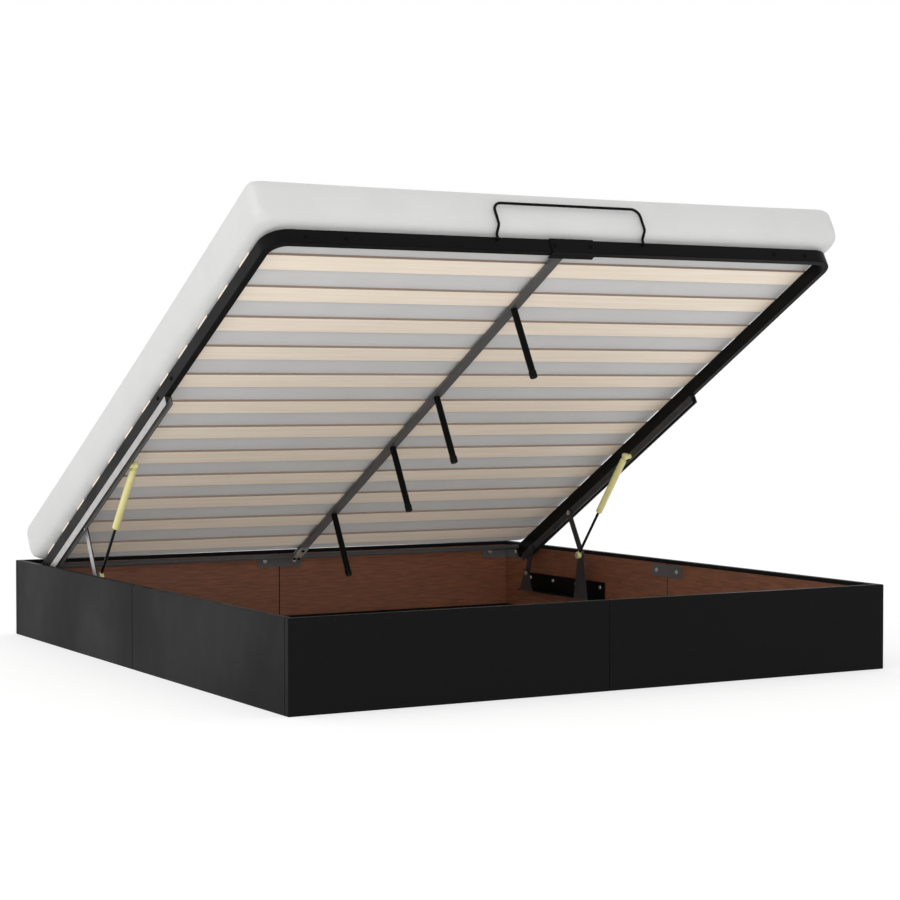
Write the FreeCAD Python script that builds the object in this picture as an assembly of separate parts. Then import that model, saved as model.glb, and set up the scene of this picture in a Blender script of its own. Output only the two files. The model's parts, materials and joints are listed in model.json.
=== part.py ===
import FreeCAD, Part
import math
import os

# Storage bed with a lift-up mattress frame, modelled with the frame raised.
# Millimetres. The origin is the centre of the base on the floor, +X is to the right seen from the foot,
# +Y points to the head and +Z up. Lid pieces are drawn flat first: along is counted from the lid's head end
# towards the foot, and up is counted from the upper face of its rails.

# Base panels, each side of the base split into two halves
bed_width = 1830.0
bed_length = 2030.0
panel_height = 236.0
panel_thickness = 20.0
cover_thickness = 1.5
cover_edge_radius = 2.5
cover_flap = 12.0
seam_gap = 0.6

# Plates, brackets and screws that hold the base together
plate_thickness = 3.0
seam_plate_length = 160.0
seam_plate_height = 40.0
seam_plate_corner = 4.0
seam_plate_centre = 200.0
foot_seam_plate_centre = 120.0
seam_screw_spacing = 110.0
corner_bracket_leg = 100.0
corner_bracket_height = 40.0
corner_screw_reach = 70.0
screw_head_radius = 7.0
screw_head_height = 3.0
screw_shank_radius = 3.0
screw_shank_length = 12.0
screw_socket_radius = 2.8
screw_socket_depth = 1.8
hole_clearance = 0.05

# Cloth floor of the storage space
liner_thickness = 1.0
liner_floor_gap = 1.0
liner_side_gap = 0.3

# Lid frame of rectangular steel tube, and the room it has inside the base
lid_side_gap = 12.0
lid_foot_gap = 16.0
lid_head_gap = 24.0
lid_recess = 6.0
rail_height = 40.0
rail_width = 20.0
rail_wall = 1.5
rail_corner_radius = 2.5
lid_bend_radius = 62.0
corner_tube_reach = 160.0
side_joint_share = 0.605
rail_joint_gap = 0.6
sleeve_length = 160.0
sleeve_clearance = 0.25
rail_bolt_reach = 55.0
bolt_head_radius = 6.0
bolt_head_height = 3.0
bolt_shank_radius = 3.0
bolt_tail = 4.0
cross_tube_height = 12.0
beam_width = 30.0
beam_end_gap = 0.2
foot_plate_width = 137.0
foot_flange_depth = 27.0
head_plate_depth = 88.0
foot_bolt_spacing = 112.0
head_bolt_spacing = 15.0
beam_bolt_inset = 20.0

# Pose of the raised lid against the closed one
lid_open_tilt = 29.17
lid_open_advance = 93.3
lid_open_drop = 6.4

# Slats, in two halves that meet on the centre beam
slat_count = 12
slat_width = 68.0
slat_thickness = 8.0
slat_edge_radius = 2.0
first_slat_edge = 154.0
last_slat_margin = 121.8
slat_end_inset = 3.0
slat_screw_head_radius = 5.0
slat_screw_radius = 2.2
slat_screw_head_depth = 3.0

# Legs under the centre beam
leg_place_shares = [0.172, 0.408, 0.57, 0.827]
leg_radius = 9.5
leg_wall = 1.5
leg_cap_wall = 1.2
leg_cap_height = 18.0
leg_cap_bottom = 3.0
leg_floor_gap = 3.0

# Wire loop at the foot that keeps the mattress in place and is the pull handle
loop_half_width = 228.0
loop_wire_radius = 3.7
loop_rail_gap = 0.2
loop_foot_drop = 10.0
loop_foot_rise = 5.0
loop_stand_off = 27.0
loop_kink_height = 22.0
loop_height = 88.0
loop_kink_radius = 10.0
loop_corner_radius = 24.0

# Lift mechanism, the same on both sides
lift_plate_drop = 24.0
lift_plate_start = 20.0
lift_plate_joint_gap = 8.0
lift_bolt_place_shares = [0.043, 0.243, 0.469, 0.764, 0.972]
pivot_drop = 53.5
front_link_along = 378.0
front_link_setback = 125.7
rear_link_along = 100.0
rear_link_setback = 70.0
strut_along = 790.0
link_thickness = 4.0
link_end_radius = 12.0
link_plate_gap = 3.0
pivot_radius = 5.0
shoulder_radius = 8.0
shoulder_gap = 0.3
pivot_head_height = 2.0
post_thickness = 3.0
post_top_radius = 14.0
post_foot_half_width = 42.0
post_link_gap = 2.0
bracket_floor_height = 75.0
bracket_wall_height = 60.0
bracket_foot_margin = 82.0
bracket_head_margin = 62.0
bracket_screw_count = 4
bracket_screw_margin = 26.0
bracket_screw_rise = 42.0
strut_post_gap = 2.0
eye_width = 12.0
eye_radius = 11.0
eye_neck_radius = 5.5
eye_reach = 15.0
strut_radius = 10.5
strut_wall = 1.5
strut_length = 227.0
strut_gland = 10.0
strut_cap = 6.0
strut_nose_radius = 2.0
rod_radius = 4.5
rod_overlap = 30.0
piston_length = 12.0
piston_gap = 0.3

# Mattress as wide as the base, a quilted shell round an empty core
mattress_head_overhang = 6.0
mattress_foot_overhang = 24.0
mattress_thickness = 137.0
mattress_corner_radius = 22.0
mattress_lower_edge_radius = 46.0
mattress_upper_edge_radius = 20.0
mattress_side_sag = 5.0
mattress_crown = 6.0
mattress_crown_inset = 260.0
mattress_quilt = 14.0
mattress_edge_steps = 4

cut_overrun = 5.0

X_AXIS = FreeCAD.Vector(1, 0, 0)
Y_AXIS = FreeCAD.Vector(0, 1, 0)
Z_AXIS = FreeCAD.Vector(0, 0, 1)
ORIGIN = FreeCAD.Vector(0, 0, 0)

# Faces that several pieces share
inner_half_width = bed_width / 2 - panel_thickness
inner_half_length = bed_length / 2 - panel_thickness
board_half_width = inner_half_width + cover_thickness
board_half_length = inner_half_length + cover_thickness
lid_half_width = inner_half_width - lid_side_gap
lid_length = 2 * inner_half_length - lid_foot_gap - lid_head_gap
rail_inner_x = lid_half_width - rail_width
foot_seam_x = lid_half_width - corner_tube_reach
side_joint_along = side_joint_share * lid_length
lift_plate_end = side_joint_along - lift_plate_joint_gap
slat_pitch = (lid_length - first_slat_edge - last_slat_margin) / (slat_count - 1)
mattress_length = lid_length + mattress_head_overhang + mattress_foot_overhang
tilt = math.radians(lid_open_tilt)
closed_y = inner_half_length - lid_head_gap
closed_z = panel_height - lid_recess
open_y = closed_y - lid_open_advance
open_z = closed_z - lid_open_drop

# Planes of the mechanism, counted out from the bed's middle on the right side
link_outer_x = rail_inner_x - link_plate_gap
link_inner_x = link_outer_x - link_thickness
post_outer_x = link_inner_x - post_link_gap
post_inner_x = post_outer_x - post_thickness
eye_outer_x = post_inner_x - strut_post_gap
eye_inner_x = eye_outer_x - eye_width
strut_x = (eye_outer_x + eye_inner_x) / 2


def vec(x, y, z):
    return FreeCAD.Vector(x, y, z)


def block(x_span, y_span, z_span):
    low = vec(min(x_span), min(y_span), min(z_span))
    return Part.makeBox(
        max(x_span) - low.x, max(y_span) - low.y, max(z_span) - low.z, low
    )


def runs_along(edge, axis):
    """Whether an edge starts out closer to the axis than to the plane across it."""
    tangent = edge.tangentAt(edge.FirstParameter)
    return abs(tangent.dot(axis)) > tangent.cross(axis).Length


def group(shapes):
    solids = [solid for shape in shapes for solid in shape.Solids]
    return Part.makeCompound(solids)


def mirrored(shape):
    return shape.mirror(ORIGIN, X_AXIS)


def pair(shape):
    return group([shape, mirrored(shape)])


def both_sides(name, right_shape):
    return {name + "_right": right_shape, name + "_left": mirrored(right_shape)}


def raised(shape):
    """Moves a piece drawn flat on the lid to the raised lid."""
    shape.rotate(ORIGIN, X_AXIS, -lid_open_tilt)
    shape.translate(vec(0, open_y, open_z))
    return shape


def open_place(along, up):
    return (
        open_y - along * math.cos(tilt) + up * math.sin(tilt),
        open_z + along * math.sin(tilt) + up * math.cos(tilt),
    )


def closed_place(along, up):
    return closed_y - along, closed_z + up


def base_pivot(along, setback):
    """Pivot on the base at one distance from its lid pivot in both end poses, set back from their chord."""
    start_y, start_z = open_place(along, -pivot_drop)
    end_y, end_z = closed_place(along, -pivot_drop)
    step_y = end_y - start_y
    step_z = end_z - start_z
    chord = math.hypot(step_y, step_z)
    return (
        (start_y + end_y) / 2 + setback * step_z / chord,
        (start_z + end_z) / 2 - setback * step_y / chord,
    )


front_pivot = base_pivot(front_link_along, front_link_setback)
rear_pivot = base_pivot(rear_link_along, rear_link_setback)
front_top = open_place(front_link_along, -pivot_drop)
rear_top = open_place(rear_link_along, -pivot_drop)
strut_top = open_place(strut_along, -pivot_drop)
strut_start = vec(strut_x, *front_pivot)
strut_end = vec(strut_x, *strut_top)
strut_direction = (strut_end - strut_start).normalize()


def screw(place, direction, head_radius, head_height, shank_radius, shank_length):
    """Button-head screw whose head rests at the place and whose shank runs against the direction."""
    head = Part.makeCylinder(head_radius, head_height)
    head = head.makeFillet(head_height / 2, [head.Edges[0]])
    shank = Part.makeCylinder(shank_radius, shank_length, ORIGIN, -Z_AXIS)
    corners = [
        vec(
            screw_socket_radius * math.cos(math.radians(turn)),
            screw_socket_radius * math.sin(math.radians(turn)),
            head_height - screw_socket_depth,
        )
        for turn in range(0, 361, 60)
    ]
    socket = Part.Face(Part.makePolygon(corners)).extrude(Z_AXIS * head_height)
    solid = head.fuse(shank).cut(socket).removeSplitter()
    solid.Placement = FreeCAD.Placement(
        place, FreeCAD.Rotation(Z_AXIS, direction)
    ).multiply(solid.Placement)
    return solid


def screw_hole(place, direction, shank_radius, shank_length):
    return Part.makeCylinder(
        shank_radius + hole_clearance,
        shank_length + cut_overrun,
        place + direction * cut_overrun,
        -direction,
    )


def base_screw(place, direction):
    return screw(
        place,
        direction,
        screw_head_radius,
        screw_head_height,
        screw_shank_radius,
        screw_shank_length,
    )


def base_hole(place, direction):
    return screw_hole(
        place, direction, screw_shank_radius, screw_shank_length + hole_clearance
    )


def seam_plate_places():
    """Centre, inward direction and run of the plate behind each side's seam."""
    return [
        (vec(0, -board_half_length, foot_seam_plate_centre), Y_AXIS, X_AXIS),
        (vec(0, board_half_length, seam_plate_centre), -Y_AXIS, X_AXIS),
        (vec(-board_half_width, 0, seam_plate_centre), X_AXIS, Y_AXIS),
        (vec(board_half_width, 0, seam_plate_centre), -X_AXIS, Y_AXIS),
    ]


def base_screw_places():
    """Place and outward head direction of every screw in the base."""
    places = []
    for centre, inward, run in seam_plate_places():
        for sign in (-1, 1):
            shift = run * (sign * seam_screw_spacing / 2)
            places.append((centre + shift + inward * plate_thickness, inward))
    for x_sign in (-1, 1):
        for y_sign in (-1, 1):
            x_wall = x_sign * (board_half_width - plate_thickness)
            y_wall = y_sign * (board_half_length - plate_thickness)
            x_reach = x_sign * (board_half_width - corner_screw_reach)
            y_reach = y_sign * (board_half_length - corner_screw_reach)
            height = seam_plate_centre
            places.append((vec(x_wall, y_reach, height), X_AXIS * -x_sign))
            places.append((vec(x_reach, y_wall, height), Y_AXIS * -y_sign))
        x_wall = x_sign * (board_half_width - plate_thickness)
        height = bracket_floor_height + bracket_screw_rise
        for y in bracket_screw_places():
            places.append((vec(x_wall, y, height), X_AXIS * -x_sign))
    return places


def bracket_span():
    return front_pivot[0] - bracket_foot_margin, rear_pivot[0] + bracket_head_margin


def bracket_screw_places():
    low, high = bracket_span()
    first = low + bracket_screw_margin
    step = (high - low - 2 * bracket_screw_margin) / (bracket_screw_count - 1)
    return [first + step * index for index in range(bracket_screw_count)]


def panel_half(length):
    """Leather-covered board, drawn with its outer face on y = 0 and its length along +X."""
    outer = block((0, length), (0, panel_thickness), (0, panel_height))
    outer = outer.makeFillet(cover_edge_radius, outer.Edges)
    board = block(
        (cover_thickness, length - cover_thickness),
        (cover_thickness, panel_thickness - cover_thickness),
        (cover_thickness, panel_height - cover_thickness),
    )
    window = block(
        (-cut_overrun, length + cut_overrun),
        (panel_thickness - cover_thickness, panel_thickness + cut_overrun),
        (cover_flap, panel_height - cover_flap),
    )
    return board, outer.cut(board).cut(window)


def base_panels():
    """Eight half panels; the foot and head panels run past the ends of the side panels."""
    cross = bed_width / 2 - seam_gap / 2
    side = inner_half_length - seam_gap / 2
    half_x = bed_width / 2
    half_y = bed_length / 2
    layout = {
        "foot_{}_left": (cross, 0, vec(-half_x, -half_y, 0)),
        "foot_{}_right": (cross, 0, vec(seam_gap / 2, -half_y, 0)),
        "head_{}_right": (cross, 180, vec(half_x, half_y, 0)),
        "head_{}_left": (cross, 180, vec(-seam_gap / 2, half_y, 0)),
        "left_{}_rear": (side, -90, vec(-half_x, inner_half_length, 0)),
        "left_{}_front": (side, -90, vec(-half_x, -seam_gap / 2, 0)),
        "right_{}_front": (side, 90, vec(half_x, -inner_half_length, 0)),
        "right_{}_rear": (side, 90, vec(half_x, seam_gap / 2, 0)),
    }
    holes = group([base_hole(*place) for place in base_screw_places()])
    pieces = {}
    for name, (length, turn, place) in layout.items():
        board, cover = panel_half(length)
        for shape in (board, cover):
            shape.rotate(ORIGIN, Z_AXIS, turn)
            shape.translate(place)
        pieces[name.format("board")] = board.cut(holes)
        pieces[name.format("cover")] = cover
    return pieces


def seam_plates(holes):
    plates = []
    for centre, inward, run in seam_plate_places():
        half = run * (seam_plate_length / 2)
        far = centre + inward * plate_thickness
        low = centre - half
        high = far + half
        plate = block(
            (low.x, high.x),
            (low.y, high.y),
            (centre.z - seam_plate_height / 2, centre.z + seam_plate_height / 2),
        )
        short_edges = [edge for edge in plate.Edges if runs_along(edge, inward)]
        plates.append(plate.makeFillet(seam_plate_corner, short_edges).cut(holes))
    return group(plates)


def corner_brackets(holes):
    z_span = (
        seam_plate_centre - corner_bracket_height / 2,
        seam_plate_centre + corner_bracket_height / 2,
    )
    x_span = (board_half_width - corner_bracket_leg, board_half_width)
    y_span = (board_half_length - corner_bracket_leg, board_half_length)
    along_side = block((board_half_width - plate_thickness, board_half_width), y_span, z_span)
    along_end = block(x_span, (board_half_length - plate_thickness, board_half_length), z_span)
    head_right = along_side.fuse(along_end).removeSplitter()
    foot_right = head_right.mirror(ORIGIN, Y_AXIS)
    return group([pair(head_right).cut(holes), pair(foot_right).cut(holes)])


def base_liner():
    half_x = inner_half_width - liner_side_gap
    half_y = inner_half_length - liner_side_gap
    return block(
        (-half_x, half_x),
        (-half_y, half_y),
        (liner_floor_gap, liner_floor_gap + liner_thickness),
    )


def stepped_pin(place, steps):
    """Turned pin along X through the (y, z) place; each step is (x from, x to, radius)."""
    solid = None
    for start, end, radius in steps:
        length = max(start, end) - min(start, end)
        disc = Part.makeCylinder(radius, length, vec(min(start, end), *place), X_AXIS)
        solid = disc if solid is None else solid.fuse(disc)
    return solid.removeSplitter()


def cross_bore(place, x_span):
    length = max(x_span) - min(x_span)
    return Part.makeCylinder(
        pivot_radius + hole_clearance,
        length + 2 * cut_overrun,
        vec(min(x_span) - cut_overrun, *place),
        X_AXIS,
    )


def lift_bracket(holes):
    low, high = bracket_span()
    floor_top = bracket_floor_height + plate_thickness
    wall = block(
        (board_half_width - plate_thickness, board_half_width),
        (low, high),
        (bracket_floor_height, bracket_floor_height + bracket_wall_height),
    )
    floor = block(
        (post_outer_x, board_half_width), (low, high), (bracket_floor_height, floor_top)
    )
    return wall.fuse(floor).removeSplitter().cut(holes)


def pivot_post(pivot):
    """Upright plate on the bracket's inner edge, rounded round the pivot at its top."""
    y, z = pivot
    outline = [
        vec(post_inner_x, y - post_foot_half_width, bracket_floor_height),
        vec(post_inner_x, y + post_foot_half_width, bracket_floor_height),
        vec(post_inner_x, y + post_top_radius, z),
        vec(post_inner_x, y - post_top_radius, z),
    ]
    plate = Part.Face(Part.makePolygon(outline + outline[:1])).extrude(X_AXIS * post_thickness)
    top = Part.makeCylinder(post_top_radius, post_thickness, vec(post_inner_x, y, z), X_AXIS)
    bore = cross_bore(pivot, (post_inner_x, post_outer_x))
    return plate.fuse(top).removeSplitter().cut(bore)


def front_base_pin():
    """Double-ended pin: the front link turns on its outer end, the strut rod on its inner end."""
    return stepped_pin(
        front_pivot,
        [
            (eye_inner_x - shoulder_gap - pivot_head_height, eye_inner_x - shoulder_gap, shoulder_radius),
            (eye_inner_x - shoulder_gap, link_outer_x + shoulder_gap, pivot_radius),
            (eye_outer_x + shoulder_gap, post_inner_x, shoulder_radius),
            (post_outer_x, link_inner_x - shoulder_gap, shoulder_radius),
            (link_outer_x + shoulder_gap, link_outer_x + shoulder_gap + pivot_head_height, shoulder_radius),
        ],
    )


def rear_base_pin():
    return stepped_pin(
        rear_pivot,
        [
            (post_inner_x - pivot_head_height, post_inner_x, shoulder_radius),
            (post_inner_x, link_outer_x + shoulder_gap, pivot_radius),
            (post_outer_x, link_inner_x - shoulder_gap, shoulder_radius),
            (link_outer_x + shoulder_gap, link_outer_x + shoulder_gap + pivot_head_height, shoulder_radius),
        ],
    )


def link_bar(low_end, high_end):
    """Flat bar with round ends and a bore at each pivot."""
    direction = vec(0, high_end[0] - low_end[0], high_end[1] - low_end[1])
    side = direction.cross(X_AXIS).normalize() * link_end_radius
    low = vec(link_inner_x, *low_end)
    high = vec(link_inner_x, *high_end)
    outline = [low + side, high + side, high - side, low - side]
    bar = Part.Face(Part.makePolygon(outline + outline[:1])).extrude(X_AXIS * link_thickness)
    for end in (low, high):
        bar = bar.fuse(Part.makeCylinder(link_end_radius, link_thickness, end, X_AXIS))
    bar = bar.removeSplitter()
    for end in (low_end, high_end):
        bar = bar.cut(cross_bore(end, (link_inner_x, link_outer_x)))
    return bar


def link_top_pin():
    """Riveted pin that hangs the lid's plate on the front link."""
    plate_outer_x = rail_inner_x + plate_thickness
    return stepped_pin(
        front_top,
        [
            (link_inner_x - shoulder_gap - pivot_head_height, link_inner_x - shoulder_gap, shoulder_radius),
            (link_inner_x - shoulder_gap, plate_outer_x + pivot_head_height, pivot_radius),
            (link_outer_x + shoulder_gap, rail_inner_x, shoulder_radius),
            (plate_outer_x, plate_outer_x + pivot_head_height, shoulder_radius),
        ],
    )


def rear_link_stud():
    """Stud in the rear link's top end; its face runs on the lid's plate."""
    return stepped_pin(
        rear_top,
        [
            (link_inner_x - pivot_head_height, link_inner_x, shoulder_radius),
            (link_inner_x, link_outer_x, pivot_radius),
            (link_outer_x, rail_inner_x - shoulder_gap, shoulder_radius),
        ],
    )


def strut_cylinder():
    low = strut_end - strut_direction * (eye_reach + strut_length)
    body = Part.makeCylinder(strut_radius, strut_length, low, strut_direction)
    rims = [edge for edge in body.Edges if edge.Closed and len(edge.Vertexes) == 1]
    body = body.makeFillet(strut_nose_radius, rims)
    bore = Part.makeCylinder(
        strut_radius - strut_wall,
        strut_length - strut_gland - strut_cap,
        low + strut_direction * strut_gland,
        strut_direction,
    )
    rod_hole = Part.makeCylinder(
        rod_radius + hole_clearance,
        strut_gland + cut_overrun,
        low - strut_direction * cut_overrun,
        strut_direction,
    )
    return body.cut(rod_hole.fuse(bore))


def strut_rod():
    foot = strut_start + strut_direction * eye_reach
    gland = strut_end - strut_direction * (eye_reach + strut_length - strut_gland)
    length = (gland - foot).Length + rod_overlap
    rod = Part.makeCylinder(rod_radius, length, foot, strut_direction)
    piston_foot = foot + strut_direction * (length - piston_length)
    piston = Part.makeCylinder(
        strut_radius - strut_wall - piston_gap, piston_length, piston_foot, strut_direction
    )
    return rod.fuse(piston).removeSplitter()


def eye(centre, direction):
    """Ring across the strut's line, with a neck along the direction."""
    ring = Part.makeCylinder(eye_radius, eye_width, vec(eye_inner_x, centre.y, centre.z), X_AXIS)
    neck = Part.makeCylinder(eye_neck_radius, eye_reach, centre, direction)
    return ring.fuse(neck).removeSplitter()


def strut_rod_end():
    bore = cross_bore(front_pivot, (eye_inner_x, eye_outer_x))
    return eye(strut_start, strut_direction).cut(bore)


def strut_top_end():
    """Eye on the cylinder with its stud, whose face runs on the lid's plate."""
    stud = stepped_pin(
        strut_top,
        [
            (eye_inner_x - pivot_head_height, rail_inner_x - shoulder_gap, pivot_radius),
            (eye_inner_x - pivot_head_height, eye_inner_x, shoulder_radius),
            (eye_outer_x, rail_inner_x - shoulder_gap, shoulder_radius),
        ],
    )
    return eye(strut_end, -strut_direction).fuse(stud).removeSplitter()


def rounded_section(width, height, radius):
    """Rounded rectangle about the origin in the XY plane, as a wire."""
    half_w = width / 2
    half_h = height / 2
    face = Part.Face(
        Part.makePolygon(
            [
                vec(-half_w, -half_h, 0),
                vec(half_w, -half_h, 0),
                vec(half_w, half_h, 0),
                vec(-half_w, half_h, 0),
                vec(-half_w, -half_h, 0),
            ]
        )
    )
    solid = face.extrude(Z_AXIS * width)
    uprights = [edge for edge in solid.Edges if runs_along(edge, Z_AXIS)]
    solid = solid.makeFillet(radius, uprights)
    lowest = min(solid.Faces, key=lambda side: side.CenterOfMass.z)
    return lowest.OuterWire


def tube_along(path, width, height, wall):
    """Rectangular tube swept along a level path, its upper face at up = 0."""
    first = path.OrderedEdges[0]
    tangent = first.tangentAt(first.FirstParameter)
    start = path.OrderedVertexes[0].Point
    place = FreeCAD.Placement(
        vec(start.x, start.y, -height / 2),
        FreeCAD.Rotation(tangent.cross(Z_AXIS) * -1, Z_AXIS, tangent, "ZYX"),
    )
    skins = []
    for inset, radius in ((0, rail_corner_radius), (wall, rail_corner_radius - wall)):
        section = rounded_section(width - 2 * inset, height - 2 * inset, radius)
        section.Placement = place
        level_path = path.copy()
        level_path.translate(vec(0, 0, -height / 2))
        skins.append(level_path.makePipeShell([section], True, False))
    return skins[0].cut(skins[1])


def straight_path(start, end):
    return Part.Wire([Part.LineSegment(start, end).toShape()])


def corner_path():
    """Middle line of the right-hand bent tube, from the side joint round to the foot seam."""
    x = lid_half_width - rail_width / 2
    foot_y = rail_width / 2 - lid_length
    radius = lid_bend_radius - rail_width / 2
    centre = vec(x - radius, foot_y + radius, 0)
    middle = centre + vec(1, -1, 0).normalize() * radius
    bend_start = vec(x, centre.y, 0)
    bend_end = vec(centre.x, foot_y, 0)
    side_start = vec(x, -side_joint_along - rail_joint_gap / 2, 0)
    foot_end = vec(foot_seam_x + rail_joint_gap / 2, foot_y, 0)
    return Part.Wire(
        [
            Part.LineSegment(side_start, bend_start).toShape(),
            Part.Arc(bend_start, middle, bend_end).toShape(),
            Part.LineSegment(bend_end, foot_end).toShape(),
        ]
    )


def lid_tubes(holes):
    """Deep tubes round the sides and foot, and flat ones across the head and down the middle."""
    side_x = lid_half_width - rail_width / 2
    foot_y = rail_width / 2 - lid_length
    head_y = -rail_width / 2
    gap = rail_joint_gap / 2
    side_path = straight_path(vec(side_x, 0, 0), vec(side_x, gap - side_joint_along, 0))
    foot_path = straight_path(vec(foot_seam_x - gap, foot_y, 0), vec(gap, foot_y, 0))
    head_path = straight_path(vec(rail_inner_x, head_y, 0), vec(gap, head_y, 0))
    tubes = {
        "corner_tube": (corner_path(), rail_height),
        "side_rail": (side_path, rail_height),
        "foot_rail": (foot_path, rail_height),
        "head_rail": (head_path, cross_tube_height),
    }
    pieces = {}
    for name, (path, height) in tubes.items():
        right = tube_along(path, rail_width, height, rail_wall)
        for side, shape in both_sides(name, right).items():
            pieces[side] = shape.cut(holes)
    beam_path = straight_path(
        vec(0, -rail_width - beam_end_gap, 0), vec(0, rail_width + beam_end_gap - lid_length, 0)
    )
    pieces["centre_beam"] = tube_along(beam_path, beam_width, cross_tube_height, rail_wall).cut(holes)
    return pieces


def sleeve_places():
    """Centre, run and tube height of each hidden sleeve that joins two tubes."""
    side_x = lid_half_width - rail_width / 2
    foot_y = rail_width / 2 - lid_length
    head_y = -rail_width / 2
    return [
        (vec(side_x, -side_joint_along, 0), Y_AXIS, rail_height),
        (vec(-side_x, -side_joint_along, 0), Y_AXIS, rail_height),
        (vec(foot_seam_x, foot_y, 0), X_AXIS, rail_height),
        (vec(-foot_seam_x, foot_y, 0), X_AXIS, rail_height),
        (vec(0, foot_y, 0), X_AXIS, rail_height),
        (vec(0, head_y, 0), X_AXIS, cross_tube_height),
    ]


def rail_sleeves(holes):
    sleeves = []
    inset = rail_wall + sleeve_clearance
    for centre, run, height in sleeve_places():
        half_run = run * (sleeve_length / 2)
        half_across = (vec(1, 1, 0) - run) * (rail_width / 2 - inset)
        low = centre - half_run - half_across
        high = centre + half_run + half_across
        bar = block((low.x, high.x), (low.y, high.y), (inset - height, -inset))
        long_edges = [edge for edge in bar.Edges if runs_along(edge, run)]
        sleeves.append(bar.makeFillet(rail_corner_radius, long_edges).cut(holes))
    return group(sleeves)


def rail_bolt_places():
    """Bolts through the tube walls into the sleeves, on the lid's outer faces."""
    places = []
    for centre, run, height in sleeve_places()[:4]:
        out = vec(0, -1, 0) if run == X_AXIS else X_AXIS * math.copysign(1, centre.x)
        for sign in (-1, 1):
            shift = run * (sign * rail_bolt_reach) + out * (rail_width / 2)
            places.append((centre + shift - Z_AXIS * (height / 2), out))
    for sign in (-1, 1):
        x = sign * lid_half_width
        places.append((vec(x, -rail_width / 2, -rail_height / 2), X_AXIS * sign))
    return places


def centre_bolt_places():
    """Bolts through the centre plates: two in the foot face, three under the head plate."""
    places = []
    face_y = -lid_length - plate_thickness
    below = -cross_tube_height - plate_thickness
    for sign in (-1, 1):
        places.append((vec(sign * foot_bolt_spacing / 2, face_y, -rail_height / 2), -Y_AXIS))
        places.append((vec(sign * head_bolt_spacing / 2, -rail_width / 2, below), -Z_AXIS))
    places.append((vec(0, beam_bolt_inset - head_plate_depth, below), -Z_AXIS))
    return places


def lift_bolt_places():
    places = []
    below = -rail_height - plate_thickness
    for sign in (-1, 1):
        x = sign * (lid_half_width - rail_width / 2)
        for share in lift_bolt_place_shares:
            along = lift_plate_start + share * (lift_plate_end - lift_plate_start)
            places.append((vec(x, -along, below), -Z_AXIS))
    return places


def lid_bolt(place, direction):
    length = plate_thickness + rail_wall + bolt_tail
    return screw(place, direction, bolt_head_radius, bolt_head_height, bolt_shank_radius, length)


def lid_hole(place, direction):
    length = plate_thickness + rail_wall + bolt_tail + hole_clearance
    return screw_hole(place, direction, bolt_shank_radius, length)


def foot_centre_plate(holes):
    """Angle plate over the foot rail's joint, with a prop that rises to the beam's underside."""
    x_span = (-foot_plate_width / 2, foot_plate_width / 2)
    beam_span = (-beam_width / 2, beam_width / 2)
    below = -rail_height - plate_thickness
    flange_end = foot_flange_depth - lid_length
    face = block(x_span, (-lid_length - plate_thickness, -lid_length), (below, 0))
    flange = block(x_span, (-lid_length, flange_end), (below, -rail_height))
    prop = block(beam_span, (flange_end - plate_thickness, flange_end), (below, -cross_tube_height))
    return face.fuse([flange, prop]).removeSplitter().cut(holes)


def head_centre_plate(holes):
    """Strip under the head rail's joint and the beam's end."""
    x_span = (-beam_width / 2, beam_width / 2)
    z_span = (-cross_tube_height - plate_thickness, -cross_tube_height)
    return block(x_span, (-head_plate_depth, 0), z_span).cut(holes)


def lift_plate(holes):
    """Channel under the side rail: its inner wall carries the lift pivots."""
    y_span = (-lift_plate_end, -lift_plate_start)
    wall_z_span = (-rail_height - lift_plate_drop, -rail_height)
    inner_span = (rail_inner_x, rail_inner_x + plate_thickness)
    outer_span = (lid_half_width - plate_thickness, lid_half_width)
    web = block(
        (rail_inner_x, lid_half_width), y_span, (-rail_height - plate_thickness, -rail_height)
    )
    walls = [block(x_span, y_span, wall_z_span) for x_span in (inner_span, outer_span)]
    bore = cross_bore((-front_link_along, -pivot_drop), inner_span)
    return web.fuse(walls).removeSplitter().cut(holes).cut(bore)


def leg_bottom():
    return leg_floor_gap - closed_z


def support_leg(along):
    foot = leg_bottom() + leg_cap_bottom
    length = -cross_tube_height - foot
    place = vec(0, -along, foot)
    tube = Part.makeCylinder(leg_radius, length, place)
    return tube.cut(Part.makeCylinder(leg_radius - leg_wall, length, place))


def leg_cap(along):
    outer_radius = leg_radius + hole_clearance + leg_cap_wall
    place = vec(0, -along, leg_bottom())
    cup = Part.makeCylinder(outer_radius, leg_cap_height, place)
    cup = cup.makeFillet(leg_cap_wall, [min(cup.Edges, key=lambda edge: edge.BoundBox.ZMax)])
    hollow = Part.makeCylinder(
        leg_radius + hole_clearance, leg_cap_height, place + Z_AXIS * leg_cap_bottom
    )
    return cup.cut(hollow)


def slat_screw_places():
    """Right-hand screws: one over the side rail and one over the beam for each slat."""
    places = []
    for index in range(slat_count):
        y = slat_width / 2 - first_slat_edge - index * slat_pitch
        places.append(vec(lid_half_width - rail_width / 2, y, slat_thickness))
        places.append(vec(beam_width / 4 + slat_end_inset / 4, y, slat_thickness))
    return places


def slat_screw(place):
    cone = Part.makeCone(
        slat_screw_radius,
        slat_screw_head_radius,
        slat_screw_head_depth,
        place - Z_AXIS * slat_screw_head_depth,
    )
    length = slat_thickness + rail_wall + bolt_tail
    return cone.fuse(Part.makeCylinder(slat_screw_radius, length, place, -Z_AXIS)).removeSplitter()


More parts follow.
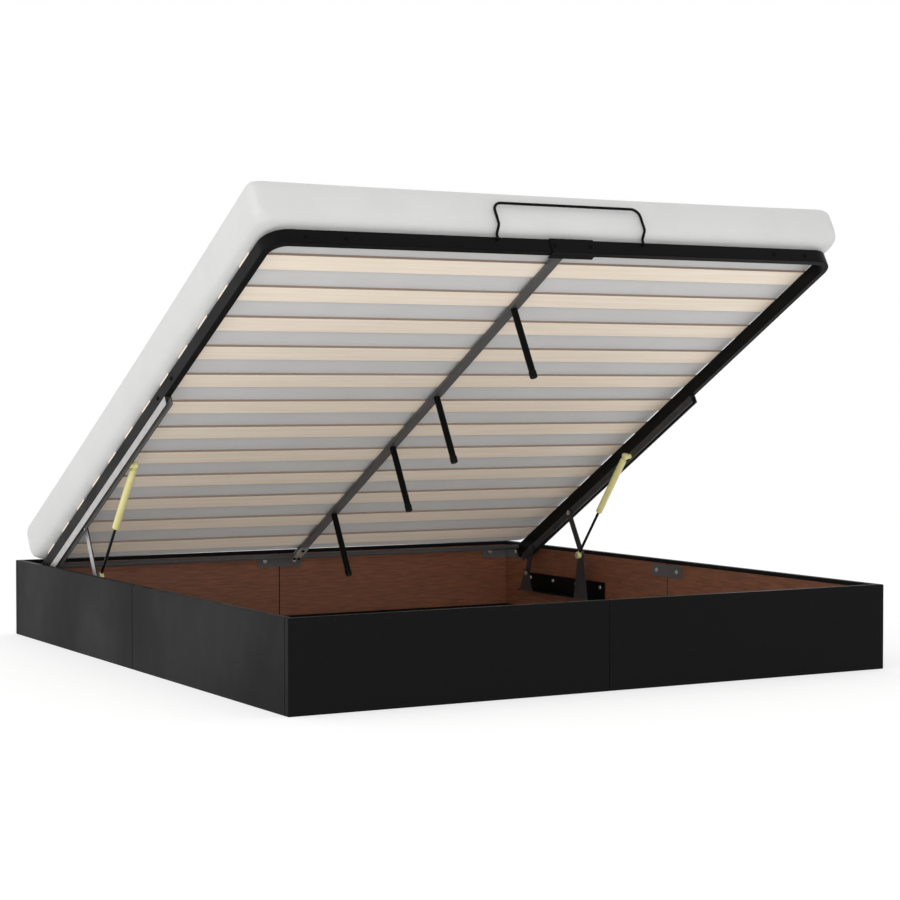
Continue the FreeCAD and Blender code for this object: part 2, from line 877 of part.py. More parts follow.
def slat_screw_hole(place):
    grown = hole_clearance
    cone = Part.makeCone(
        slat_screw_radius + grown,
        slat_screw_head_radius + grown,
        slat_screw_head_depth,
        place - Z_AXIS * slat_screw_head_depth,
    )
    length = slat_thickness + rail_wall + bolt_tail + grown
    return cone.fuse(Part.makeCylinder(slat_screw_radius + grown, length, place, -Z_AXIS))


def slats():
    """The right-hand slat halves, resting on the side rail and the beam."""
    holes = group([slat_screw_hole(place) for place in slat_screw_places()])
    x_span = (slat_end_inset / 2, lid_half_width - slat_end_inset)
    rows = []
    for index in range(slat_count):
        edge_y = -first_slat_edge - index * slat_pitch
        slat = block(x_span, (edge_y, edge_y + slat_width), (0, slat_thickness))
        long_edges = [edge for edge in slat.Edges if runs_along(edge, X_AXIS)]
        rows.append(slat.makeFillet(slat_edge_radius, long_edges).cut(holes))
    return group(rows)


def rounded_path(points, radii):
    """Wire of straight runs joined by tangent arcs, one radius for each inner point."""
    edges = []
    start = points[0]
    for before, corner, after, radius in zip(points, points[1:], points[2:], radii):
        back = (before - corner).normalize()
        ahead = (after - corner).normalize()
        half_angle = back.getAngle(ahead) / 2
        trim = radius / math.tan(half_angle)
        arc_start = corner + back * trim
        arc_end = corner + ahead * trim
        inward = (back + ahead).normalize()
        middle = corner + inward * (radius / math.sin(half_angle) - radius)
        edges.append(Part.LineSegment(start, arc_start).toShape())
        edges.append(Part.Arc(arc_start, middle, arc_end).toShape())
        start = arc_end
    edges.append(Part.LineSegment(start, points[-1]).toShape())
    return Part.Wire(edges)


def handle_loop():
    foot_y = -lid_length - loop_rail_gap - loop_wire_radius
    stand_y = -lid_length - loop_stand_off
    left_side = [
        vec(-loop_half_width, foot_y, -loop_foot_drop),
        vec(-loop_half_width, foot_y, loop_foot_rise),
        vec(-loop_half_width, stand_y, loop_kink_height),
        vec(-loop_half_width, stand_y, loop_height),
    ]
    right_side = [vec(-point.x, point.y, point.z) for point in reversed(left_side)]
    side_radii = [loop_kink_radius, loop_kink_radius, loop_corner_radius]
    path = rounded_path(left_side + right_side, side_radii + side_radii[::-1])
    ring = Part.Wire([Part.makeCircle(loop_wire_radius, left_side[0], Z_AXIS)])
    return path.makePipeShell([ring], True, False)


def mattress_outline(inset, up):
    """Level outline at a height: corner arcs joined by sides that draw in a little at their middle."""
    half_x = bed_width / 2 - inset
    half_y = mattress_length / 2 - inset
    radius = mattress_corner_radius
    sag = mattress_side_sag
    edges = []
    corners = [(1, 1), (-1, 1), (-1, -1), (1, -1)]
    for index, (x_sign, y_sign) in enumerate(corners):
        on_side = vec(x_sign * half_x, y_sign * (half_y - radius), up)
        on_end = vec(x_sign * (half_x - radius), y_sign * half_y, up)
        centre = vec(x_sign * (half_x - radius), y_sign * (half_y - radius), up)
        middle = centre + vec(x_sign, y_sign, 0).normalize() * radius
        first, last = (on_side, on_end) if index % 2 == 0 else (on_end, on_side)
        edges.append(Part.Arc(first, middle, last).toShape())
        next_x, next_y = corners[(index + 1) % len(corners)]
        if index % 2 == 0:
            target = vec(next_x * (half_x - radius), next_y * half_y, up)
            drawn_in = vec(0, y_sign * (half_y - sag), up)
        else:
            target = vec(next_x * half_x, next_y * (half_y - radius), up)
            drawn_in = vec(x_sign * (half_x - sag), 0, up)
        edges.append(Part.Arc(last, drawn_in, target).toShape())
    return Part.Wire(edges)


def mattress_form(skin):
    """Padded slab, rounder below than above, with a crowned top, drawn in from the outside by a skin."""
    height = mattress_thickness - 2 * skin
    shoulder = height - mattress_crown
    lower = mattress_lower_edge_radius * height / mattress_thickness
    upper = mattress_upper_edge_radius * height / mattress_thickness
    turns = [math.pi / 2 * step / mattress_edge_steps for step in range(mattress_edge_steps + 1)]
    outlines = [(lower * (1 - math.sin(turn)), lower * (1 - math.cos(turn))) for turn in turns]
    outlines += [(upper * (1 - math.cos(turn)), shoulder - upper * (1 - math.sin(turn))) for turn in turns]
    outlines.append((mattress_crown_inset, height))
    wires = [mattress_outline(inset + skin, up + skin) for inset, up in outlines]
    return Part.makeLoft(wires, True, True)


def mattress():
    shell = mattress_form(0).cut(mattress_form(mattress_quilt))
    middle_y = mattress_length / 2 - lid_length - mattress_foot_overhang
    shell.translate(vec(0, middle_y, slat_thickness))
    return shell


def base_pieces():
    places = base_screw_places()
    holes = group([base_hole(*place) for place in places])
    pieces = base_panels()
    pieces["seam_plates"] = seam_plates(holes)
    pieces["corner_brackets"] = corner_brackets(holes)
    pieces["base_screws"] = group([base_screw(*place) for place in places])
    pieces["base_liner"] = base_liner()
    pieces.update(both_sides("lift_bracket", lift_bracket(holes)))
    pieces["pivot_posts"] = group([pair(pivot_post(front_pivot)), pair(pivot_post(rear_pivot))])
    pieces["front_base_pins"] = pair(front_base_pin())
    pieces["rear_base_pins"] = pair(rear_base_pin())
    return pieces


def mechanism_pieces():
    pieces = both_sides("front_link", link_bar(front_pivot, front_top))
    pieces.update(both_sides("rear_link", link_bar(rear_pivot, rear_top)))
    pieces["rear_link_studs"] = pair(rear_link_stud())
    pieces.update(both_sides("strut_rod", strut_rod()))
    pieces["strut_rod_ends"] = pair(strut_rod_end())
    pieces.update(both_sides("strut_cylinder", strut_cylinder()))
    pieces["strut_top_ends"] = pair(strut_top_end())
    pieces["link_top_pins"] = pair(link_top_pin())
    return pieces


def lid_pieces():
    """Pieces drawn flat on the lid and then raised with it."""
    bolt_places = rail_bolt_places() + centre_bolt_places() + lift_bolt_places()
    bolt_holes = [lid_hole(*place) for place in bolt_places]
    right_screws = group([slat_screw(place) for place in slat_screw_places()])
    right_screw_holes = group([slat_screw_hole(place) for place in slat_screw_places()])
    holes = group(bolt_holes + [pair(right_screw_holes)])
    pieces = lid_tubes(holes)
    pieces["rail_sleeves"] = rail_sleeves(holes)
    pieces["lid_bolts"] = group([lid_bolt(*place) for place in bolt_places])
    pieces["foot_centre_plate"] = foot_centre_plate(holes)
    pieces["head_centre_plate"] = head_centre_plate(holes)
    pieces.update(both_sides("lift_plate", lift_plate(holes)))
    leg_places = [share * lid_length for share in leg_place_shares]
    pieces["support_legs"] = group([support_leg(along) for along in leg_places])
    pieces["leg_caps"] = group([leg_cap(along) for along in leg_places])
    pieces.update(both_sides("slats", slats()))
    pieces["slat_screws"] = pair(right_screws)
    pieces["handle_loop"] = handle_loop()
    pieces["mattress"] = mattress()
    return {name: raised(shape) for name, shape in pieces.items()}


def main():
    os.makedirs("parts", exist_ok=True)
    pieces = {**base_pieces(), **mechanism_pieces(), **lid_pieces()}
    for name, shape in pieces.items():
        shape.exportStep("parts/{}.step".format(name))
    print(len(pieces), "nodes")
    print("front pivot", front_pivot, "rear pivot", rear_pivot)


main()
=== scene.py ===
import json
import math

import bmesh
import bpy
from mathutils import Matrix, Vector, noise


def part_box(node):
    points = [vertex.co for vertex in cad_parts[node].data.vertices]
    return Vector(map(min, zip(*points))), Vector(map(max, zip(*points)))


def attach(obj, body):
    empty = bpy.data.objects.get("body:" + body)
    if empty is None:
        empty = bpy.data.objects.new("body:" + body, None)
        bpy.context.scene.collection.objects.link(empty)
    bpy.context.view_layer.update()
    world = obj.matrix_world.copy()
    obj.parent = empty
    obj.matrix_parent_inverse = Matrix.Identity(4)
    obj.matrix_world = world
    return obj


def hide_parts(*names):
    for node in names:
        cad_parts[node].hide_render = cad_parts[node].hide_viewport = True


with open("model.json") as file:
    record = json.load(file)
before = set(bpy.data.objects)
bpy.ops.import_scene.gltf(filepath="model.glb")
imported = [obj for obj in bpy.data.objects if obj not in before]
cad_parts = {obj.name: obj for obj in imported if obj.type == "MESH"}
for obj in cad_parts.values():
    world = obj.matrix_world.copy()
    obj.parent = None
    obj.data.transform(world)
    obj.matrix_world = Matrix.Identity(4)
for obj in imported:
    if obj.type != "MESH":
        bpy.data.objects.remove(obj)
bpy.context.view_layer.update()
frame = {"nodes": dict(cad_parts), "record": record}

# Metres and radians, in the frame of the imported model: +X right, +Y to the head, +Z up.

# Lid
LID_TILT = math.radians(29.17)
RAIL_HEIGHT = 0.040
SLAT_THICKNESS = 0.008

# Camera, solved from the corners and edges of the base in the photograph
CAMERA_PLACE = Vector((-3.1098, -5.6758, 0.7789))
CAMERA_YAW = 0.5147
CAMERA_PITCH = 0.0279
CAMERA_FOCAL_PIXELS = 2171.8
PICTURE_PIXELS = 900.0
SENSOR_MILLIMETRES = 36.0

# Mattress, drawn flat and centred, with its underside at zero
MATTRESS_LENGTH = 1.980
MATTRESS_HALF_WIDTH = 0.915
MATTRESS_THICKNESS = 0.137
MATTRESS_HEAD_OVERHANG = 0.006
MATTRESS_CORNER = 0.022
MATTRESS_LOWER_EDGE = 0.046
MATTRESS_UPPER_EDGE = 0.028
MATTRESS_DRAW_IN = 0.005
MATTRESS_CROWN = 0.006
MATTRESS_SLACK = 0.003
MATTRESS_VOXEL = 0.012

# Swelling of the mattress cover
PUFF_FRAMES = 20
PUFF_PRESSURE = 3.0
PUFF_CAP = 0.005
SEAM_SHARE = 0.4
SEAM_REACH_SHARE = 0.45

# Cloth floor
LINER_CELL = 0.020
LINER_RIPPLE = 0.004
LINER_THICKNESS = 0.0008
LINER_FLAT_SHARE = 0.03
LINER_CALM_RATE = 12
LINER_WAVES_ACROSS = 5.0
LINER_WAVES_ALONG = 4.0
LINER_NOISE_SLICE = 0.3

# Studio: places in metres, powers in watts
LIGHT_TARGET = Vector((0, 0, 0.4))
LEFT_LIGHT_PLACE = Vector((-4.5, -0.5, 2.6))
LEFT_LIGHT_SIZE = 3.0
LEFT_LIGHT_POWER = 20
LOW_LIGHT_PLACE = Vector((-3.8, -12.0, 0.7))
LOW_LIGHT_SIZE = 6.0
LOW_LIGHT_POWER = 900
FRONT_DIRECTION = (0.25, -0.96, 0.0)
FRONT_DIM_START = 0.35
FRONT_DIM_END = 0.95
SIDE_STRENGTH = 1.0
FRONT_STRENGTH = 0.25
FLOOR_SIZE = 60.0


class Shader:
    """A material with short calls for the nodes that the finishes share. Lengths are in metres."""

    def __init__(self, name, **constants):
        self.material = bpy.data.materials.new(name)
        self.material.use_nodes = True
        self.tree = self.material.node_tree
        self.surface = self.tree.nodes["Principled BSDF"]
        for socket, value in constants.items():
            self.surface.inputs[socket.replace("_", " ")].default_value = value
        self.place = self.node("ShaderNodeTexCoord").outputs["Object"]
        self.facing = self.place.node.outputs["Normal"]

    def node(self, kind, **settings):
        made = self.tree.nodes.new(kind)
        for name, value in settings.items():
            setattr(made, name, value)
        return made

    def feed(self, socket, value):
        if hasattr(value, "is_output"):
            self.tree.links.new(value, socket)
        else:
            socket.default_value = value

    def stretched(self, scale):
        mapping = self.node("ShaderNodeMapping")
        self.feed(mapping.inputs["Vector"], self.place)
        mapping.inputs["Scale"].default_value = scale
        return mapping.outputs["Vector"]

    def noise(self, scale, detail=3.0, place=None):
        made = self.node("ShaderNodeTexNoise")
        self.feed(made.inputs["Vector"], place or self.place)
        made.inputs["Scale"].default_value = scale
        made.inputs["Detail"].default_value = detail
        return made.outputs["Fac"]

    def cells(self, scale, place=None):
        made = self.node("ShaderNodeTexVoronoi", feature="F1")
        self.feed(made.inputs["Vector"], place or self.place)
        made.inputs["Scale"].default_value = scale
        return made.outputs["Distance"]

    def math(self, operation, first, second=0.0):
        made = self.node("ShaderNodeMath", operation=operation)
        self.feed(made.inputs[0], first)
        self.feed(made.inputs[1], second)
        return made.outputs["Value"]

    def dot(self, first, second):
        made = self.node("ShaderNodeVectorMath", operation="DOT_PRODUCT")
        self.feed(made.inputs[0], first)
        self.feed(made.inputs[1], second)
        return made.outputs["Value"]

    def spread(self, value, low, high, to_low=0.0, to_high=1.0):
        made = self.node("ShaderNodeMapRange", interpolation_type="SMOOTHSTEP")
        for socket, number in zip(made.inputs, (value, low, high, to_low, to_high)):
            self.feed(socket, number)
        return made.outputs["Result"]

    def blend(self, share, first, second):
        made = self.node("ShaderNodeMix", data_type="RGBA")
        self.feed(made.inputs["Factor"], share)
        colours = [socket for socket in made.inputs if socket.type == "RGBA"]
        self.feed(colours[0], first)
        self.feed(colours[1], second)
        return next(socket for socket in made.outputs if socket.type == "RGBA")

    def colour(self, value):
        self.feed(self.surface.inputs["Base Color"], value)

    def set(self, socket, value):
        self.feed(self.surface.inputs[socket], value)

    def bump(self, height, depth, strength=1.0):
        made = self.node("ShaderNodeBump")
        made.inputs["Strength"].default_value = strength
        made.inputs["Distance"].default_value = depth
        self.feed(made.inputs["Height"], height)
        self.feed(self.surface.inputs["Normal"], made.outputs["Normal"])


def leather():
    """Black faux leather: pebbled grain with painted shade in the lines between the pebbles, soft
    creases and a faint change of gloss.
    """
    shader = Shader("black_leather", Specular_IOR_Level=0.06)
    grain = shader.cells(620.0)
    patches = shader.noise(3.0, detail=4.0)
    pebble = (0.0065, 0.0065, 0.007, 1)
    # painted shade: darker colour in the creases between the pebbles
    crease_painted_shade = (0.003, 0.003, 0.0032, 1)
    shader.colour(shader.blend(grain, pebble, crease_painted_shade))
    shader.set("Roughness", shader.spread(patches, 0.3, 0.7, 0.40, 0.52))
    swell = shader.math("MULTIPLY", shader.noise(5.0, detail=2.0), 6.0)
    height = shader.math("ADD", shader.math("MULTIPLY", grain, 0.6), swell)
    shader.bump(height, depth=0.0006, strength=0.8)
    return shader.material


def board():
    """Brown laminate with a fine grain along the panels."""
    shader = Shader("brown_board", Roughness=0.5)
    grain = shader.noise(1.0, detail=5.0, place=shader.stretched((14.0, 14.0, 160.0)))
    fleck = shader.noise(1.0, detail=2.0, place=shader.stretched((60.0, 60.0, 900.0)))
    shade = shader.math("ADD", grain, shader.math("MULTIPLY", fleck, 0.35))
    share = shader.spread(shade, 0.4, 0.95)
    light_brown = (0.205, 0.070, 0.030, 1)
    dark_brown = (0.105, 0.034, 0.014, 1)
    shader.colour(shader.blend(share, light_brown, dark_brown))
    shader.bump(fleck, depth=0.0001)
    return shader.material


def powder_coat(name, tone, shine=0.05):
    """Powder coat with fine orange peel."""
    shader = Shader(name, Specular_IOR_Level=shine)
    peel = shader.noise(900.0, detail=2.0)
    dust = shader.noise(6.0, detail=4.0)
    darker = (tone * 0.8,) * 3 + (1,)
    paler = (tone * 1.2,) * 3 + (1,)
    shader.colour(shader.blend(dust, darker, paler))
    shader.set("Roughness", shader.spread(dust, 0.3, 0.7, 0.34, 0.46))
    shader.bump(peel, depth=0.00008)
    return shader.material


def zinc(name, colour, roughness):
    """Bright zinc plate, finely brushed."""
    shader = Shader(name, Metallic=1.0)
    brush = shader.noise(1.0, place=shader.stretched((400.0, 30.0, 400.0)))
    bloom = shader.noise(40.0, detail=4.0)
    dull = tuple(part * 0.8 for part in colour) + (1,)
    shader.colour(shader.blend(bloom, colour + (1,), dull))
    shader.set("Roughness", shader.spread(brush, 0.2, 0.8, roughness * 0.8, roughness * 1.25))
    shader.bump(brush, depth=0.00005)
    return shader.material


def steel_with_painted_inner_shade():
    """Lift steel: bright zinc on the faces turned away from the bed's middle, and black painted shade on
    the faces turned towards it.
    """
    shader = Shader("lift_steel")
    across = shader.node("ShaderNodeSeparateXYZ")
    shader.feed(across.inputs[0], shader.place)
    turned = shader.node("ShaderNodeSeparateXYZ")
    shader.feed(turned.inputs[0], shader.facing)
    outward = shader.math("MULTIPLY", shader.math("SIGN", across.outputs["X"]), turned.outputs["X"])
    # share of each face that shows zinc; the rest gets painted shade
    bright = shader.spread(outward, 0.3, 0.6)
    bloom = shader.noise(40.0, detail=4.0)
    bright_plate = (0.5, 0.485, 0.48, 1)
    dull_plate = (0.4, 0.39, 0.385, 1)
    # painted shade: black in place of the zinc on the faces turned towards the bed's middle
    black = (0.014, 0.014, 0.015, 1)
    plate = shader.blend(bloom, bright_plate, dull_plate)
    shader.colour(shader.blend(bright, black, plate))
    shader.set("Metallic", shader.math("MULTIPLY", bright, 0.55))
    shader.set("Roughness", shader.spread(bloom, 0.3, 0.7, 0.36, 0.5))
    shader.bump(shader.noise(700.0, detail=2.0), depth=0.00006)
    return shader.material


def yellow_paint():
    """Pale yellow lacquer of the strut cylinders."""
    shader = Shader("yellow_paint", Coat_Weight=0.25, Coat_Roughness=0.2)
    cloud = shader.noise(25.0)
    deep_yellow = (0.66, 0.61, 0.24, 1)
    pale_yellow = (0.74, 0.69, 0.33, 1)
    shader.colour(shader.blend(cloud, deep_yellow, pale_yellow))
    shader.set("Roughness", shader.spread(cloud, 0.3, 0.7, 0.32, 0.42))
    shader.bump(shader.noise(600.0, detail=2.0), depth=0.00006)
    return shader.material


def slat_wood():
    """Pale ply with long grain; the sawn long edges show the darker plies."""
    shader = Shader("slat_wood")
    grain = shader.noise(1.0, detail=5.0, place=shader.stretched((3.0, 90.0, 90.0)))
    fibre = shader.noise(1.0, place=shader.stretched((12.0, 700.0, 700.0)))
    boards = shader.noise(2.6, detail=1.0, place=shader.stretched((0.4, 1.0, 1.0)))
    early_wood = (0.92, 0.83, 0.71, 1)
    late_wood = (0.87, 0.75, 0.61, 1)
    warm_board = (0.86, 0.69, 0.55, 1)
    dark_ply = (0.22, 0.155, 0.12, 1)
    light_ply = (0.36, 0.27, 0.21, 1)
    ply_radians_per_metre = 2600.0
    pale = shader.blend(shader.spread(grain, 0.35, 0.7), early_wood, late_wood)
    pale = shader.blend(shader.math("MULTIPLY", boards, 0.35), pale, warm_board)
    through = (0.0, math.sin(LID_TILT), math.cos(LID_TILT))
    along = (0.0, -math.cos(LID_TILT), math.sin(LID_TILT))
    level = shader.dot(shader.place, through)
    plies = shader.math("SINE", shader.math("MULTIPLY", level, ply_radians_per_metre))
    ply_tone = shader.blend(shader.spread(plies, -0.6, 0.6), dark_ply, light_ply)
    edge = shader.spread(shader.math("ABSOLUTE", shader.dot(shader.facing, along)), 0.55, 0.8)
    shader.colour(shader.blend(edge, pale, ply_tone))
    shader.set("Roughness", shader.spread(grain, 0.3, 0.7, 0.5, 0.62))
    shader.bump(fibre, depth=0.00012)
    return shader.material


def plastic():
    """Matt black moulded plastic, with painted shade darkening the low spots of its texture."""
    shader = Shader("black_plastic", Roughness=0.55, Specular_IOR_Level=0.1)
    texture = shader.noise(1500.0, detail=2.0)
    # painted shade: where the texture bump is low the plastic is coloured darker
    pit_painted_shade = (0.003, 0.003, 0.0032, 1)
    peak = (0.005, 0.005, 0.0052, 1)
    shader.colour(shader.blend(texture, pit_painted_shade, peak))
    shader.bump(texture, depth=0.00006)
    return shader.material


def liner_cloth():
    """Pale non-woven cloth: fibres with painted shade on the lower ones, and a dotted bond."""
    shader = Shader("liner_cloth", Roughness=0.95, Sheen_Weight=0.2)
    fibres = shader.noise(1.0, detail=6.0, place=shader.stretched((500.0, 500.0, 500.0)))
    bond = shader.spread(shader.cells(420.0), 0.15, 0.35)
    # painted shade: where the fibre bump is low the cloth is coloured darker
    low_fibres_painted_shade = (0.74, 0.74, 0.72, 1)
    raised = (0.84, 0.84, 0.82, 1)
    shader.colour(shader.blend(fibres, low_fibres_painted_shade, raised))
    shader.bump(shader.math("ADD", bond, fibres), depth=0.0003)
    return shader.material


def mattress_cloth():
    """Pale knitted ticking: fine rows of stitches and a soft sheen."""
    shader = Shader("mattress_cloth", Roughness=0.85, Sheen_Weight=0.25, Sheen_Roughness=0.5)
    rows = shader.cells(1.0, shader.stretched((520.0, 300.0, 520.0)))
    cloud = shader.noise(7.0, detail=4.0)
    share = shader.spread(cloud, 0.3, 0.7)
    paler = (0.595, 0.595, 0.59, 1)
    darker = (0.575, 0.575, 0.57, 1)
    shader.colour(shader.blend(share, paler, darker))
    pucker = shader.math("MULTIPLY", shader.noise(28.0), 3.0)
    shader.bump(shader.math("ADD", rows, pucker), depth=0.0005, strength=0.7)
    return shader.material


def dress_nodes():
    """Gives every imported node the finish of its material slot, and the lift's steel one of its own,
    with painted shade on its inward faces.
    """
    finishes = {
        "black_leather": leather(),
        "brown_board": board(),
        "grey_steel": powder_coat("grey_steel", 0.09),
        "bright_steel": zinc("bright_steel", (0.66, 0.65, 0.63), 0.34),
        "black_steel": powder_coat("black_steel", 0.004),
        "black_gloss": powder_coat("black_gloss", 0.045, shine=1.0),
        "black_rod": zinc("black_rod", (0.03, 0.03, 0.032), 0.25),
        "yellow_paint": yellow_paint(),
        "slat_wood": slat_wood(),
        "black_plastic": plastic(),
        "liner_cloth": liner_cloth(),
        "mattress_cloth": mattress_cloth(),
    }
    # lift steel with painted shade on the faces turned towards the bed's middle
    lift_steel = steel_with_painted_inner_shade()
    lift_names = ("front_link_", "rear_link_", "lift_plate_", "pivot_posts")
    for part in frame["record"]["subparts"]:
        node = frame["nodes"][part["node"]]
        finish = finishes[part["material_slot"]]
        if part["node"].startswith(lift_names):
            finish = lift_steel
        for holder in node.material_slots:
            holder.material = finish
    return finishes


def placed(name, data):
    """New object in the scene that holds a mesh, a light or a camera."""
    thing = bpy.data.objects.new(name, data)
    bpy.context.scene.collection.objects.link(thing)
    return thing


def lid_place():
    """Matrix from a flat lid, its head end on the X axis and its foot towards -Y, to the raised lid."""
    low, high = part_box("side_rail_left")
    head_y = high[1]
    head_z = low[2] + RAIL_HEIGHT * math.cos(LID_TILT)
    return Matrix.Translation((0, head_y, head_z)) @ Matrix.Rotation(-LID_TILT, 4, "X")


def outline(inset, up):
    """Level ring of points round the mattress, its sides drawn in a little between the corners."""
    half_x = MATTRESS_HALF_WIDTH - MATTRESS_SLACK - inset
    half_y = MATTRESS_LENGTH / 2 - MATTRESS_SLACK - inset
    turns = 12
    runs = 60
    points = []
    for quarter in range(4):
        base = quarter * math.pi / 2
        x_sign = 1 if quarter in (0, 3) else -1
        y_sign = 1 if quarter in (0, 1) else -1
        centre = Vector((x_sign * (half_x - MATTRESS_CORNER), y_sign * (half_y - MATTRESS_CORNER), up))
        for step in range(turns + 1):
            turn = base + step / turns * math.pi / 2
            points.append(centre + Vector((math.cos(turn), math.sin(turn), 0)) * MATTRESS_CORNER)
        across = quarter in (0, 2)
        span = 2 * ((half_x if across else half_y) - MATTRESS_CORNER)
        run = Vector((-y_sign, 0, 0)) if across else Vector((0, -1 if quarter == 1 else 1, 0))
        inward = Vector((0, -y_sign, 0)) if across else Vector((-x_sign, 0, 0))
        start = points[-1]
        for step in range(1, runs):
            share = step / runs
            dip = MATTRESS_DRAW_IN * (1 - (2 * share - 1) ** 2)
            points.append(start + run * (span * share) + inward * dip)
    return points


def mattress_rings():
    """Insets and heights of the rings from the flat underside round the edge to the crown."""
    steps = 6
    top = MATTRESS_THICKNESS - MATTRESS_CROWN
    turns = [step / steps * math.pi / 2 for step in range(steps + 1)]
    lower = MATTRESS_LOWER_EDGE
    upper = MATTRESS_UPPER_EDGE
    rings = [(lower * (1 - math.sin(turn)), lower * (1 - math.cos(turn))) for turn in turns]
    rings += [(upper * (1 - math.cos(turn)), top - upper * (1 - math.sin(turn))) for turn in turns]
    rise_shares = {0.1: 0.45, 0.3: 0.8, 0.6: 1.0}
    for inset_share, rise_share in rise_shares.items():
        rings.append((inset_share * MATTRESS_HALF_WIDTH, top + MATTRESS_CROWN * rise_share))
    return rings


def mattress_mesh():
    """Closed cover of rings, flat underneath."""
    mesh = bpy.data.meshes.new("mattress_cover")
    form = bmesh.new()
    rings = []
    for inset, up in mattress_rings():
        rings.append([form.verts.new(point) for point in outline(inset, up)])
    count = len(rings[0])
    for lower, upper in zip(rings, rings[1:]):
        for index in range(count):
            after = (index + 1) % count
            form.faces.new((lower[index], lower[after], upper[after], upper[index]))
    form.faces.new(list(reversed(rings[0])))
    form.faces.new(rings[-1])
    form.to_mesh(mesh)
    form.free()
    return mesh


def remeshed(piece):
    remesh = piece.modifiers.new("even", "REMESH")
    remesh.mode = "VOXEL"
    remesh.voxel_size = MATTRESS_VOXEL
    apply_modifiers(piece)


def apply_modifiers(piece):
    evaluated = piece.evaluated_get(bpy.context.evaluated_depsgraph_get())
    mesh = bpy.data.meshes.new_from_object(evaluated)
    piece.modifiers.clear()
    piece.data = mesh


def puffed(piece):
    """Lets the cover swell under a little pressure, held at its seams and where it lies on the slats."""
    before = [vertex.co.copy() for vertex in piece.data.vertices]
    held = piece.vertex_groups.new(name="held")
    seam_low = MATTRESS_LOWER_EDGE * SEAM_SHARE
    seam_high = MATTRESS_THICKNESS - MATTRESS_CROWN - MATTRESS_UPPER_EDGE * SEAM_SHARE
    for vertex in piece.data.vertices:
        on_seam = abs(vertex.co.z - seam_high) < MATTRESS_VOXEL * SEAM_REACH_SHARE
        if vertex.co.z < seam_low or on_seam:
            held.add([vertex.index], 1.0, "REPLACE")
    cloth = piece.modifiers.new("swell", "CLOTH")
    cloth.settings.quality = 6
    cloth.settings.mass = 0.4
    cloth.settings.tension_stiffness = 25
    cloth.settings.bending_stiffness = 6
    cloth.settings.use_pressure = True
    cloth.settings.uniform_pressure_force = PUFF_PRESSURE
    cloth.settings.vertex_group_mass = held.name
    cloth.settings.effector_weights.gravity = 0
    cloth.point_cache.frame_end = PUFF_FRAMES
    scene = bpy.context.scene
    for number in range(1, PUFF_FRAMES + 1):
        scene.frame_set(number)
    apply_modifiers(piece)
    scene.frame_set(1)
    for vertex, start in zip(piece.data.vertices, before):
        step = vertex.co - start
        if step.length > PUFF_CAP:
            vertex.co = start + step.normalized() * PUFF_CAP


def mattress(finish):
    """Mattress on the slats, tilted with the lid."""
    piece = placed("mattress_cover", mattress_mesh())
    remeshed(piece)
    puffed(piece)
    middle = MATTRESS_LENGTH / 2 - MATTRESS_HEAD_OVERHANG
    piece.data.transform(lid_place() @ Matrix.Translation((0, -middle, SLAT_THICKNESS)))
    for face in piece.data.polygons:
        face.use_smooth = True
    piece.data.materials.clear()
    piece.data.materials.append(finish)
    smooth = piece.modifiers.new("smooth", "SUBSURF")
    smooth.levels = 1
    smooth.render_levels = 1
    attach(piece, "lid")
    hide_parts("mattress")


def liner_mesh(low, size):
    """Grid with shallow ripples, flat along its edges and where the legs come down."""
    columns = round(size.x / LINER_CELL)
    rows = round(size.y / LINER_CELL)
    mesh = bpy.data.meshes.new("liner_sheet")
    form = bmesh.new()
    grid = []
    for row in range(rows + 1):
        line = []
        for column in range(columns + 1):
            across = column / columns
            along = row / rows
            off_middle = max(abs(across - 0.5) - LINER_FLAT_SHARE, 0.0)
            calm = min(across, 1 - across, along, 1 - along, off_middle) * LINER_CALM_RATE
            spot = (across * LINER_WAVES_ACROSS, along * LINER_WAVES_ALONG, LINER_NOISE_SLICE)
            wave = 0.5 + 0.5 * noise.noise(Vector(spot))
            rise = LINER_RIPPLE * wave * min(calm, 1.0)
            line.append(form.verts.new((low.x + size.x * across, low.y + size.y * along, low.z + rise)))
        grid.append(line)
    for near, far in zip(grid, grid[1:]):
        for index in range(columns):
            form.faces.new((near[index], near[index + 1], far[index + 1], far[index]))
    for face in form.faces:
        face.smooth = True
    form.to_mesh(mesh)
    form.free()
    return mesh


def liner(finish):
    """Loose cloth floor between the panels."""
    low, high = (Vector(corner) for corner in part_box("base_liner"))
    size = high - low
    piece = placed("liner_sheet", liner_mesh(low, size))
    piece.data.materials.append(finish)
    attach(piece, "base")
    thick = piece.modifiers.new("thick", "SOLIDIFY")
    thick.thickness = LINER_THICKNESS
    thick.offset = 1.0
    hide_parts("base_liner")


def area_light(name, place, size, power):
    """Square light that faces the bed."""
    light = bpy.data.lights.new(name, "AREA")
    light.shape = "SQUARE"
    light.size = size
    light.energy = power
    lamp = placed(name, light)
    lamp.location = place
    lamp.rotation_euler = (LIGHT_TARGET - place).to_track_quat("-Z", "Y").to_euler()


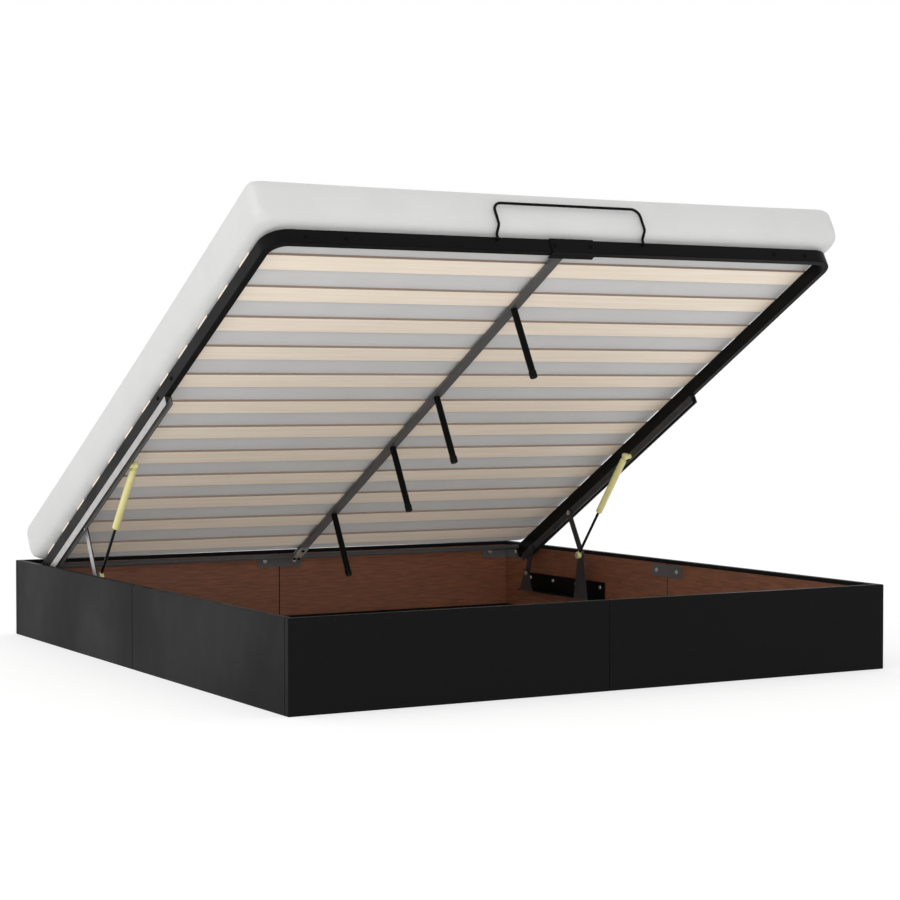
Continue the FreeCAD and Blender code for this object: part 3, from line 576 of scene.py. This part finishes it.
def studio():
    """White surroundings, dimmer in front of the foot panel, with soft lights left and low in front."""
    world = bpy.data.worlds.new("studio")
    bpy.context.scene.world = world
    world.use_nodes = True
    nodes = world.node_tree.nodes
    links = world.node_tree.links
    ground = nodes["Background"]
    ground.inputs["Color"].default_value = (1, 1, 1, 1)
    toward = nodes.new("ShaderNodeTexCoord")
    front = nodes.new("ShaderNodeVectorMath")
    front.operation = "DOT_PRODUCT"
    front.inputs[1].default_value = FRONT_DIRECTION
    links.new(toward.outputs["Generated"], front.inputs[0])
    dim = nodes.new("ShaderNodeMapRange")
    dim.interpolation_type = "SMOOTHSTEP"
    steps = (FRONT_DIM_START, FRONT_DIM_END, SIDE_STRENGTH, FRONT_STRENGTH)
    for socket, value in zip(list(dim.inputs)[1:5], steps):
        socket.default_value = value
    links.new(front.outputs["Value"], dim.inputs[0])
    links.new(dim.outputs["Result"], ground.inputs["Strength"])
    area_light("left_light", LEFT_LIGHT_PLACE, LEFT_LIGHT_SIZE, LEFT_LIGHT_POWER)
    area_light("low_light", LOW_LIGHT_PLACE, LOW_LIGHT_SIZE, LOW_LIGHT_POWER)


def pale_floor():
    """Wide matt floor that glows a little, so that it reads as white."""
    shader = Shader(
        "pale_floor",
        Base_Color=(0.5, 0.5, 0.5, 1),
        Roughness=0.9,
        Specular_IOR_Level=0.0,
        Emission_Color=(1, 1, 1, 1),
        Emission_Strength=0.55,
    )
    mesh = bpy.data.meshes.new("floor")
    half = FLOOR_SIZE / 2
    corners = [(-half, -half, 0), (half, -half, 0), (half, half, 0), (-half, half, 0)]
    mesh.from_pydata(corners, [], [(0, 1, 2, 3)])
    mesh.materials.append(shader.material)
    placed("floor", mesh)


def camera():
    """Camera at the photograph's viewing angle."""
    lens = bpy.data.cameras.new("camera")
    lens.sensor_width = SENSOR_MILLIMETRES
    lens.lens = CAMERA_FOCAL_PIXELS * SENSOR_MILLIMETRES / PICTURE_PIXELS
    lens.clip_end = FLOOR_SIZE * 2
    eye = placed("camera", lens)
    eye.location = CAMERA_PLACE
    eye.rotation_euler = (math.pi / 2 - CAMERA_PITCH, 0, -CAMERA_YAW)
    bpy.context.scene.camera = eye


def main():
    bpy.context.scene.view_settings.view_transform = "Standard"
    camera()
    studio()
    pale_floor()
    finishes = dress_nodes()
    mattress(finishes["mattress_cloth"])
    liner(finishes["liner_cloth"])


main()
